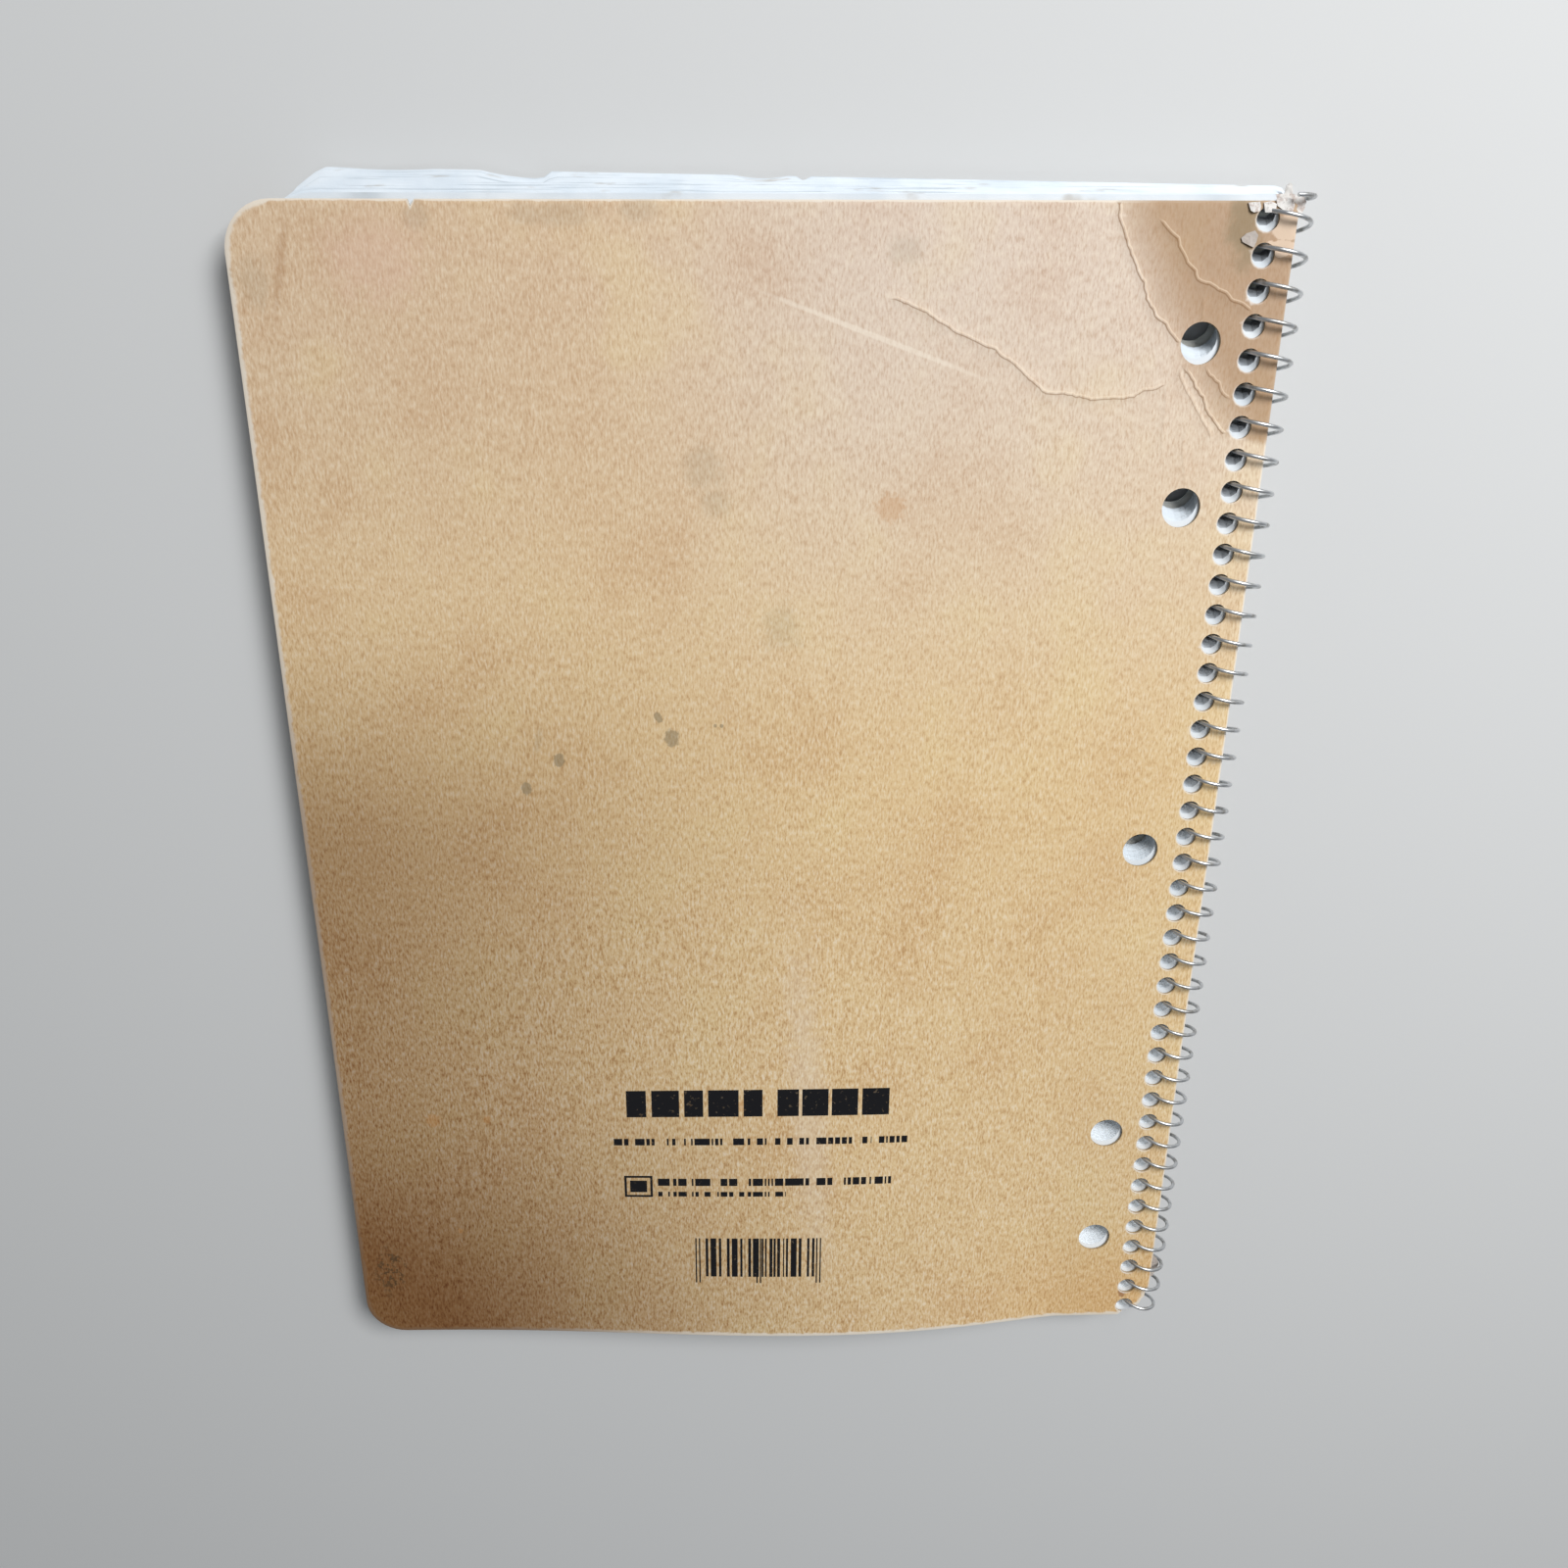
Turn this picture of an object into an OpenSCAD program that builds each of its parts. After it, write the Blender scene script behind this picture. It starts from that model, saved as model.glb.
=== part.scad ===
// Spiral notebook: a block of ruled sheets between a thin card front cover and a chipboard
// back cover, bound along the long edge by a left-hand wire coil.
//
// It lies face down, so the back cover is on top. X runs from the fore edge to the spine,
// Y runs towards the head of the notebook and Z is up. The coil and the fore edge of the front
// cover touch the surface at z = 0, and the sheets fan out from the spine to fill the wedge
// between the two covers. The origin is under the middle of the notebook's box.
//
// Both covers swing about the axis of the coil. A coil is a screw, so a hole that swings half a
// turn round it meets the wire half a pitch further along. The holes leave room for that: each
// cover lies closed with the wire at one side of its holes, and open with it at the other.

/* [Covers] */
// Width of each cover, from the fore edge to the spine edge
cover_w = 203.2; // [150:0.1:260]
// Height of the back cover, along the coil
cover_h = 266.7; // [180:0.1:320]
// How much shorter the front cover is, at its head
card_short = 4; // [0:0.1:6]
// Thickness of the chipboard back cover
board_t = 0.6; // [0.4:0.05:1]
// Thickness of the card front cover
card_t = 0.3; // [0.2:0.05:0.6]
// Radius of the rounded corners at the fore edge
corner_r = 9.5; // [5:0.5:14]
// Radius of the trimmed corners at the spine of the front cover and the sheets
spine_corner_r = 2.5; // [1:0.5:3]
// How far the spine edge of each cover stands past the axis of the coil
spine_past = 1.4; // [0.8:0.1:2]

/* [Sheets] */
// Width of a sheet, from its fore edge to its spine edge
sheet_w = 193.7; // [140:0.1:250]
// Height of a sheet
sheet_h = 266.7; // [180:0.1:320]
// Thickness of all the sheets together where the coil holds them
stack_t = 4.2; // [2:0.1:8]
// How far the outermost sheets lie from the middle of their play along the coil
sheet_slump = 0.6; // [0:0.05:0.8]
// Turn of the sheet next to the front cover, in degrees, with its fore edge towards the head
sheet_turn = 0.6; // [0:0.05:0.6]
// How much further up than at the spine the outermost sheets reach at the fore edge of their head
head_slant = 1.3; // [0:0.1:2]

/* [Coil] */
// Distance from one turn of the coil to the next, and so from hole to hole
pitch = 6.35; // [5.5:0.05:8]
// Diameter of the wire
wire_d = 0.85; // [0.6:0.05:1.2]
// Room between the covers' spine edges and the inside of the coil
coil_room = 0.65; // [0.4:0.05:2]

/* [Binder holes] */
// Diameter of the five holes for a ring binder
binder_d = 7.94; // [6:0.01:9]
// Distance from the middle of the binder holes to the spine edge of a cover
binder_margin = 15.9; // [14:0.1:20]
// Distance from the middle binder hole to each of the outer two
binder_far = 107.95; // [85:0.05:120]
// Distance from the middle binder hole to each of the inner two
binder_near = 76.2; // [40:0.05:90]

/* [Play] */
// Angle that each cover can swing open, in degrees
swing = 180; // [90:5:180]
// Room in a coil hole beyond the wire and its shift along the coil as a cover swings
hole_room = 0.48; // [0.4:0.02:1]
// Gap between the sheets and the back cover, and between them and the front cover at the fore edge
cover_gap = 0.25; // [0.2:0.01:0.5]
// Gap with which the spine edge of one cover passes the other
pass_gap = 0.12; // [0.08:0.01:0.3]
// Gap with which the sheets' spine edge clears the covers
edge_gap = 0.06; // [0.04:0.01:0.15]

/* [Wear] */
// How far the back cover has warped up in the middle of its bottom edge
warp = 5; // [0:0.5:8]
// Radius that the ragged bottom corner at the spine has worn to
worn_r = 9.8; // [8:0.1:12]
// Depth of the small tear in the top edge of the back cover
tear = 1.3; // [0.5:0.1:3]
// Distance of that tear from the fore edge
tear_at = 35.3; // [20:0.1:120]
// Depth of the worn hollow in the head of the sheets next to the front cover
hollow = 1.4; // [0.3:0.1:2]
// Width of that hollow
hollow_w = 13; // [6:1:30]
// Distance of that hollow from the fore edge of the cover
hollow_at = 56; // [40:1:120]
// How far the lower end of the wire has been pressed in towards the axis
pressed_in = 0.8; // [0:0.1:0.9]

/* [Hidden] */

CUT = 1;                 // how far a cutting shape stands out of what it cuts
ARC = 8;                 // facets in a quarter round
wire_r = wire_d / 2;

// Everything that swings is measured from the axis of the coil. The back cover keeps closest to
// the axis, the front cover passes outside its spine edge, and the coil goes round both.
stack_half = stack_t / 2;
board_in = stack_half + cover_gap;
board_out = board_in + board_t;
board_mid = board_in + board_t / 2;
card_in = norm([spine_past, board_out]) + pass_gap;
card_out = card_in + card_t;
card_mid = card_in + card_t / 2;
coil_r = norm([spine_past, card_out]) + coil_room + wire_r;   // to the middle of the wire
axis_z = coil_r + wire_r;                                     // the axis above the surface

// Where the wire crosses a flat layer at height z above the axis, on the side of the sheets.
function wire_x(z) = -sqrt(coil_r * coil_r - z * z);
function wire_angle(z) = 180 - asin(z / coil_r);

// Along the wire the angle grows without end, and 0 is straight out from the spine.
creep = pitch * swing / 720;            // half of the wire's shift in a hole as a cover opens
function wire_y(angle) = pitch * (angle - wire_angle(board_mid)) / 360 + creep;

// Rows of holes, counted from the bottom of the back cover's height.
coil_hole_d = 2 * creep + wire_d + hole_room;
hole_count = floor(cover_h / pitch);
function hole_y(k) = (k - (hole_count - 1) / 2) * pitch;
BINDER_Y = [-binder_far, -binder_near, 0, binder_near, binder_far];

// Each layer has its holes where the wire crosses it, and lies its own distance up the coil.
board_hole_x = wire_x(board_mid);
board_fore = spine_past - cover_w;
card_hole_x = wire_x(card_mid);
card_lift = wire_y(wire_angle(-card_mid)) + creep;
near_lift = wire_y(wire_angle(stack_half)) - sheet_slump;
far_lift = wire_y(wire_angle(-stack_half)) + sheet_slump;
sheet_hole_x = (wire_x(0) + wire_x(stack_half)) / 2;
binder_inset = board_hole_x - spine_past + binder_margin;  // from the coil holes to the binder's

// The head corner of the most turned sheet comes closest to the covers as they swing past.
sheet_spine = sqrt(pow(board_in - edge_gap, 2) - pow(stack_half, 2))
    - (sheet_h / 2 + far_lift) * sin(sheet_turn);
sheet_fore = sheet_spine - sheet_w;

// The front cover droops until its fore edge touches the surface, and the sheets fan out after it.
droop = asin(axis_z / norm([card_out, board_fore])) - atan(-card_out / board_fore);
fan = asin(sin(droop) - (card_in - stack_half - cover_gap) / sheet_fore);

// Both ends of the wire are cut off plain, over half a turn past the last holes.
STEPS = 16;              // straight pieces in a turn of the wire
SIDES = 6;               // flat sides round the wire
wire_start = -67.5;
wire_end = 360 * (hole_count - 1) + 450;
head_stop = cover_h / 2 + wire_d;      // the last turn is pushed down to here, just past the cover

// ---- shared shapes ----

function arc(x, y, r, from, to, n = ARC) =
    [for (i = [0:n]) let (a = from + (to - from) * i / n) [x + r * cos(a), y + r * sin(a)]];

// A sheet between the given edges, rounded at the fore edge (low x) and nearly square at the spine.
function leaf(fore, spine, foot, head) = concat(
    arc(fore + corner_r, foot + corner_r, corner_r, 180, 270),
    arc(spine - spine_corner_r, foot + spine_corner_r, spine_corner_r, 270, 360, 4),
    arc(spine - spine_corner_r, head - spine_corner_r, spine_corner_r, 0, 90, 4),
    arc(fore + corner_r, head - corner_r, corner_r, 90, 180));

// Every place in a layer where a hole for the coil or for the binder goes.
module coil_places(x) for (k = [0:hole_count - 1]) translate([x, hole_y(k)]) children();
module binder_places(x) for (y = BINDER_Y) translate([x, y]) children();

// A round bar from p to q, past both ends by CUT.
module bar(p, q, r) {
    d = q - p;
    u = d / norm(d);
    translate(p - u * CUT)
        rotate([0, acos(u.z), atan2(u.y, u.x)])
            cylinder(h = norm(d) + 2 * CUT, r = r, $fn = 48);
}

// The worn hollow is a shallow round scoop out of an edge at height y.
hollow_r = hollow / 2 + hollow_w * hollow_w / 8 / hollow;
module head_hollow(y) {
    translate([board_fore + hollow_at, y - hollow + hollow_r, -2 * axis_z])
        cylinder(h = 2 * axis_z + board_in, r = hollow_r, $fn = 96);
}

// ---- back cover: chipboard, warped up along its bottom edge ----

WARP_COLS = 13;
WARP_ROWS = 7;
// The warp dies out beside the binder holes, and halfway up the cover.
warp_w = cover_w - binder_margin - binder_d;
warp_peak = 0.66;        // where it is highest, as a share of its width
warp_late = 1.3;         // how it falls away towards the coil
warp_early = warp_late * warp_peak / (1 - warp_peak);
warp_scale = pow(warp_peak, warp_early) * pow(1 - warp_peak, warp_late);

function unit(v) = min(1, max(0, v));
function warp_across(x) = let (s = unit((x - board_fore) / warp_w))
    pow(s, warp_early) * pow(1 - s, warp_late) / warp_scale;
function warp_along(y) = pow(max(0, -2 * y / cover_h), 1.7);
function board_z(x, y) = board_in + warp * warp_across(x) * warp_along(y);

// The lines that the board is divided along: closer together where it bends.
WARP_X = concat([board_fore - 2 * CUT],
    [for (i = [0:WARP_COLS]) board_fore + warp_w * i / WARP_COLS], [spine_past + 2 * CUT]);
WARP_Y = concat([for (j = [0:WARP_ROWS]) -(cover_h / 2 + 2 * CUT) * (1 - j / WARP_ROWS)],
    [cover_h / 2 + 2 * CUT]);

module warped_board() {
    nx = len(WARP_X) - 1;
    ny = len(WARP_Y) - 1;
    function id(i, j, top) = 2 * (j * (nx + 1) + i) + top;
    points = [for (y = WARP_Y) for (x = WARP_X) for (top = [0, 1])
        [x, y, board_z(x, y) + top * board_t]];
    faces = concat(
        [for (j = [0:ny - 1]) for (i = [0:nx - 1]) each [
            [id(i, j, 1), id(i, j + 1, 1), id(i + 1, j + 1, 1)],
            [id(i, j, 1), id(i + 1, j + 1, 1), id(i + 1, j, 1)],
            [id(i, j, 0), id(i + 1, j + 1, 0), id(i, j + 1, 0)],
            [id(i, j, 0), id(i + 1, j, 0), id(i + 1, j + 1, 0)]]],
        [for (i = [0:nx - 1]) each [
            [id(i, 0, 0), id(i, 0, 1), id(i + 1, 0, 1), id(i + 1, 0, 0)],
            [id(i + 1, ny, 0), id(i + 1, ny, 1), id(i, ny, 1), id(i, ny, 0)]]],
        [for (j = [0:ny - 1]) each [
            [id(0, j + 1, 0), id(0, j + 1, 1), id(0, j, 1), id(0, j, 0)],
            [id(nx, j, 0), id(nx, j, 1), id(nx, j + 1, 1), id(nx, j + 1, 0)]]]);
    polyhedron(points, faces);
}

// Ragged outline: the bottom corner at the spine has worn round and broken into the last hole,
// the top one has lost its point, and the top edge has a small tear.
function rag(i) = 0.35 * sin(137 * i) * cos(71 * i);
board_outline = concat(
    arc(board_fore + corner_r, -cover_h / 2 + corner_r, corner_r, 180, 270),
    [for (i = [0:12]) let (a = 270 + 7.5 * i, r = worn_r + rag(i))
        [spine_past - worn_r + r * cos(a), -cover_h / 2 + worn_r + r * sin(a)]],
    [[spine_past, cover_h / 2 - 2.1], [spine_past - 0.5, cover_h / 2 - 1.5],
     [spine_past - 0.4, cover_h / 2 - 0.7], [spine_past - 1.3, cover_h / 2 - 0.2],
     [spine_past - 2.2, cover_h / 2]],
    [[board_fore + tear_at + 0.9, cover_h / 2], [board_fore + tear_at, cover_h / 2 - tear],
     [board_fore + tear_at - 0.4, cover_h / 2]],
    arc(board_fore + corner_r, cover_h / 2 - corner_r, corner_r, 90, 180));

module back_cover() {
    color("#c59a66")
    difference() {
        intersection() {
            warped_board();
            linear_extrude(board_out + warp + CUT) polygon(board_outline);
        }
        coil_places(board_hole_x)
            cylinder(h = board_out + CUT, d = coil_hole_d, $fn = 48);
        binder_places(spine_past - binder_margin)
            cylinder(h = board_out + warp + CUT, d = binder_d, $fn = 64);
    }
}

// ---- sheets: one leaning block, which fans out towards the fore edge ----

// Places a point of the sheet at either face of the block.
function tilted(p, a) = [p.x * cos(a) + p.z * sin(a), p.y, p.z * cos(a) - p.x * sin(a)];
function turned(p, a) = let (x = p.x - sheet_hole_x)
    [sheet_hole_x + x * cos(a) - p.y * sin(a), x * sin(a) + p.y * cos(a)];
function near_point(p) = [p.x, p.y + near_lift, stack_half];
// The head edge slants, because the sheets lie askew.
function slanted(p) = p.y > 0 ? p + [0, head_slant * (sheet_spine - p.x) / sheet_w] : p;
function far_point(p) = let (q = turned(slanted(p), -sheet_turn))
    tilted([q.x, q.y + far_lift, -stack_half], -fan);

sheet_outline = leaf(sheet_fore, sheet_spine, -sheet_h / 2, sheet_h / 2);

// The block between its two faces, from the same outline placed on each.
module sheet_block() {
    n = len(sheet_outline);
    points = concat([for (p = sheet_outline) near_point(p)], [for (p = sheet_outline) far_point(p)]);
    faces = concat(
        [[for (i = [n - 1:-1:0]) i], [for (i = [0:n - 1]) n + i]],
        [for (i = [0:n - 1]) let (j = (i + 1) % n) each [[i, j, n + j], [i, n + j, n + i]]]);
    polyhedron(points, faces);
}

module pages() {
    color("#eef1f4")
    difference() {
        sheet_block();
        for (k = [0:hole_count - 1]) let (p = [sheet_hole_x, hole_y(k)])
            bar(near_point(p), far_point(p), coil_hole_d / 2);
        for (y = BINDER_Y) let (p = [sheet_hole_x - binder_inset, y])
            bar(near_point(p), far_point(p), binder_d / 2);
        head_hollow(far_point([board_fore + hollow_at, sheet_h / 2]).y);
    }
}

// ---- front cover: thin card ----

module front_cover() {
    color("#4b6480")
    rotate([0, -droop, 0]) translate([0, card_lift, -card_out])
        difference() {
            linear_extrude(card_t) polygon(leaf(board_fore, spine_past, -cover_h / 2, cover_h / 2 - card_short));
            translate([0, 0, -CUT]) coil_places(card_hole_x)
                cylinder(h = card_t + 2 * CUT, d = coil_hole_d, $fn = 48);
            translate([0, 0, -CUT]) binder_places(spine_past - binder_margin)
                cylinder(h = card_t + 2 * CUT, d = binder_d, $fn = 64);
        }
}

// ---- wire coil: one length of wire, with its lower end pressed in and its top turn pushed down ----

function on_coil(a) = let (r = coil_r - pressed_in * sin(90 * unit((90 - a) / 120)))
    [r * cos(a), min(wire_y(a) + hole_y(0), head_stop), r * sin(a)];

wire_path = [for (a = [wire_start:360 / STEPS:wire_end]) on_coil(a)];

module wire_coil() {
    n = len(wire_path);
    rings = [for (i = [0:n - 1]) let (
            p = wire_path[i],
            d = wire_path[min(i + 1, n - 1)] - wire_path[max(i - 1, 0)],
            t = d / norm(d),
            out = [p.x, 0, p.z],
            side = out - (out * t) * t,
            u = side / norm(side),
            v = cross(t, u))
        [for (s = [0:SIDES - 1]) p + wire_r * (cos(360 * s / SIDES) * u + sin(360 * s / SIDES) * v)]];
    points = [for (ring = rings) each ring];
    faces = concat(
        [[for (s = [0:SIDES - 1]) s], [for (s = [SIDES - 1:-1:0]) (n - 1) * SIDES + s]],
        [for (i = [0:n - 2]) for (s = [0:SIDES - 1]) let (
                a = i * SIDES + s,
                b = i * SIDES + (s + 1) % SIDES,
                c = b + SIDES,
                d = a + SIDES)
            each [[a, d, c], [a, c, b]]]);
    color("#8b8e92") polyhedron(points, faces);
}

// Middle of the whole notebook's box, from the foot of the back cover to the head of the sheets.
middle_x = (board_fore + axis_z) / 2;
middle_y = (max([for (p = sheet_outline) far_point(p).y]) - cover_h / 2) / 2;

// Stands a piece on the surface, over the origin.
module placed() translate([-middle_x, -middle_y, axis_z]) children();

placed() back_cover();
placed() pages();
placed() front_cover();
placed() wire_coil();
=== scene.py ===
"""A worn spiral notebook, lying face down with its chipboard back cover on top.

The fixed frame gives every place. The chipboard, the sheets and the wire are made here in more
detail and stand for their solids. Bits of torn paper stick out at both ends of the spine. The front
cover keeps its solid and gets a finish.
Lengths are in metres, except where a comment or a name says mm.
"""

import math

import bpy
import numpy as np
from mathutils import Matrix, Vector, geometry


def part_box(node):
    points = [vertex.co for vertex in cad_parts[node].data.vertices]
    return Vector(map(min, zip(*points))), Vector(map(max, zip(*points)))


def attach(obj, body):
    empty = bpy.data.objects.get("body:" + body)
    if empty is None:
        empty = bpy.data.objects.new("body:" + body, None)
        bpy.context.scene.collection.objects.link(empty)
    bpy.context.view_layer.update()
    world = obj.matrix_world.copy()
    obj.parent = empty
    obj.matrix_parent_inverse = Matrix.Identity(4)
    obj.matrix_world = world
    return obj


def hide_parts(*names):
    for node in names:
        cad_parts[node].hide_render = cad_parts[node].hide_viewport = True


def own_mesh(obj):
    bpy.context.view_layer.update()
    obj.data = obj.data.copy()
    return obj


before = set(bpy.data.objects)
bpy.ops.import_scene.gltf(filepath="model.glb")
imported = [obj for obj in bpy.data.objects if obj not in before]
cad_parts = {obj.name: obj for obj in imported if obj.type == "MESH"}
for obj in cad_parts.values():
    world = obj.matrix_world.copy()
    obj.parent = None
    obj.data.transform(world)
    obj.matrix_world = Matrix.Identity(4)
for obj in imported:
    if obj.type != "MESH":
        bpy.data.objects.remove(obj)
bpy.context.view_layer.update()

MM = 0.001
rng = np.random.default_rng(8)

# ---------------------------------------------------------------- sizes, from the frame

coil_low, coil_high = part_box("wire_coil")
board_low, board_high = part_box("back_cover")

WIRE_R = 0.425 * MM
PITCH = 6.35 * MM  # four coil holes to the inch
AXIS_Z = (coil_low.z + coil_high.z) / 2
COIL_R = AXIS_Z - WIRE_R
AXIS_X = coil_high.x - AXIS_Z
BOARD_T = 0.6 * MM
BOARD_IN = board_low.z
BOARD_OUT = BOARD_IN + BOARD_T
COVER_W = board_high.x - board_low.x
FORE_X, SPINE_X = board_low.x, board_high.x
COVER_H = 266.7 * MM
FOOT_Y, HEAD_Y = board_low.y, board_low.y + COVER_H
MIDDLE_Y = (FOOT_Y + HEAD_Y) / 2
HOLES = int(COVER_H / PITCH)
COIL_HOLE_R = 2.2525 * MM
BINDER_R = 3.97 * MM
BINDER_MARGIN = 15.9 * MM
BINDER_X = SPINE_X - BINDER_MARGIN
BINDER_Y = [MIDDLE_Y + y * MM for y in (-107.95, -76.2, 0, 76.2, 107.95)]


def wire_x(z):
    """Where the wire crosses a flat layer at height z, on the side of the sheets."""
    return AXIS_X - math.sqrt(COIL_R**2 - (z - AXIS_Z) ** 2)


def wire_angle(z):
    """The angle round the coil, in degrees, at which the wire crosses height z."""
    return 180 - math.degrees(math.asin((z - AXIS_Z) / COIL_R))


BOARD_MID = BOARD_IN + BOARD_T / 2
CREEP = PITCH / 4
WIRE_FROM, WIRE_TO = -67.5, 360 * (HOLES - 1) + 450  # degrees
PRESSED_IN = 0.8 * MM


def hole_y(k):
    """The middle of a coil hole of the back cover, counted from the foot."""
    return MIDDLE_Y + (k - (HOLES - 1) / 2) * PITCH


def wire_y(angle):
    """How far the wire has gone along Y at an angle, counted from the first hole."""
    return PITCH * (angle - wire_angle(BOARD_MID)) / 360 + CREEP


def cover_xy(u, v):
    """A point of the back cover: u mm from its fore edge, v mm down from its head."""
    return FORE_X + u * MM, HEAD_Y - v * MM


# ---------------------------------------------------------------- colours and node trees

MATH, RANGE, MIX = "ShaderNodeMath", "ShaderNodeMapRange", "ShaderNodeMix"


def colour(hex_code):
    """An sRGB hex colour as the linear colour that Blender takes."""
    parts = [int(hex_code[i : i + 2], 16) / 255 for i in (1, 3, 5)]
    return [c / 12.92 if c <= 0.04045 else ((c + 0.055) / 1.055) ** 2.4 for c in parts] + [1.0]


def feed(tree, socket, value):
    """Gives an input a socket to follow, a hex colour or a plain value."""
    if isinstance(value, bpy.types.NodeSocket):
        tree.links.new(value, socket)
    else:
        socket.default_value = colour(value) if isinstance(value, str) else value


def add(tree, kind, *values, links=None, out=None, **settings):
    """Adds one node and gives its first output, or the one that out names. settings are its
    properties. values go to its inputs in order, and links to the inputs that they name."""
    node = tree.nodes.new(kind)
    for name, value in settings.items():
        setattr(node, name, value)
    for socket, value in zip([s for s in node.inputs if s.enabled], values):
        feed(tree, socket, value)
    for name, value in (links or {}).items():
        feed(tree, node.inputs[name], value)
    return node.outputs[out] if out else next((s for s in node.outputs if s.enabled), None)


def new_material(name):
    """A new material, its node tree and each place on its object."""
    material = bpy.data.materials.new(name)
    material.use_nodes = True
    tree = material.node_tree
    return material, tree, add(tree, "ShaderNodeTexCoord", out="Object")


def shade(tree, looks):
    """Feeds the shader's inputs by name."""
    for name, value in looks.items():
        feed(tree, tree.nodes["Principled BSDF"].inputs[name], value)


def stain(tree, base, value, span, amount, tone, blend="MIX"):
    """Lays a tone over base: not at all before value reaches the start of span, and by amount from
    its end on. A mask, which goes from 0 to 1, has no span."""
    low, high = span or (0, 1)
    how = "SMOOTHSTEP" if span else "LINEAR"
    share = add(tree, RANGE, value, low, high, 0, amount, interpolation_type=how)
    return add(tree, MIX, share, base, tone, data_type="RGBA", blend_type=blend)


def joined(tree, operation, *masks):
    """Several masks as one: MAXIMUM is where any of them is, MULTIPLY where all are."""
    found = masks[0]
    for mask in masks[1:]:
        found = add(tree, MATH, found, mask, operation=operation)
    return found


def grain(tree, place, size_mm, stretch=(1, 1, 1), detail=2.0, rough=0.5, at=(0, 0, 0)):
    """Noise with features of about size_mm, drawn out along an axis by stretch."""
    scale = [1 / s for s in stretch]
    mapped = add(tree, "ShaderNodeMapping", place, at, (0, 0, 0), scale)
    return add(tree, "ShaderNodeTexNoise", mapped, 1 / (size_mm * MM), detail, rough)


# ---------------------------------------------------------------- marks on the back cover


def blot(tree, place, rag, u, v, wide, tall, turn=0, ragged=0.35, soft=0.35):
    """A round mark on the cover, 1 inside and 0 outside, made ragged by the noise rag; sizes in mm."""
    x, y = cover_xy(u, v)
    links = {
        "Vector": place,
        "Location": (x, y, 0),
        "Rotation": (0, 0, math.radians(turn)),
        "Scale": (wide / 2 * MM, tall / 2 * MM, 1),
    }
    mapped = add(tree, "ShaderNodeMapping", links=links, vector_type="TEXTURE")
    flat = add(tree, "ShaderNodeVectorMath", mapped, (1, 1, 0), operation="MULTIPLY")
    far = add(tree, "ShaderNodeVectorMath", flat, operation="LENGTH")
    rag = add(tree, MATH, rag, 0.5, operation="SUBTRACT")
    far = add(tree, MATH, rag, ragged * 3, far, operation="MULTIPLY_ADD")
    return add(tree, RANGE, far, 1 + soft / 2, 1 - soft / 2, interpolation_type="SMOOTHSTEP")


def bar_mask(tree, x, y, u0, u1, v0, v1):
    """1 inside a rectangle of the cover, 0 outside."""
    x0, y0 = cover_xy(u0, v1)
    x1, y1 = cover_xy(u1, v0)
    across = add(tree, MATH, x, (x0 + x1) / 2, (x1 - x0) / 2, operation="COMPARE")
    along = add(tree, MATH, y, (y0 + y1) / 2, (y1 - y0) / 2, operation="COMPARE")
    return joined(tree, "MULTIPLY", across, along)


def strips(tree, x, seed, step_mm, share):
    """Upright strips of uneven width: 1 on a strip, 0 between, share of them inked."""
    cell = add(tree, MATH, x, step_mm * MM, operation="DIVIDE")
    cell = add(tree, MATH, cell, operation="FLOOR")
    cell = add(tree, MATH, cell, seed, operation="ADD")
    white = add(tree, "ShaderNodeTexWhiteNoise", cell, noise_dimensions="1D")
    return add(tree, MATH, white, share, operation="LESS_THAN")


# The heading's blocks, and the runs of ticks in the small lines, in mm from the fore edge.
HEADING = [(68.8, 73.6), (74.9, 81.6), (82.8, 87.4), (88.6, 96.0), (97.2, 101.8),
           (105.4, 110.6), (111.4, 117.8), (118.6, 125.0), (126.0, 132.6)]
SMALL_LINES = [
    (207.9, 209.8, [(65.0, 69.0), (70.6, 75.4), (78.4, 81.0), (82.6, 92.0), (94.6, 98.8), (100.4, 103.2),
                    (104.8, 106.2), (107.8, 109.2), (110.8, 113.2), (115.0, 124.0), (125.8, 128.6),
                    (130.4, 137.4)]),
    (219.4, 221.5, [(75.6, 89.4), (91.0, 95.6), (98.4, 113.4), (115.2, 119.6), (122.0, 133.8)]),
    (223.2, 224.6, [(75.8, 77.0), (78.4, 86.0), (87.4, 89.2), (90.6, 94.6), (96.0, 103.6), (105.0, 107.6)]),
]


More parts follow.
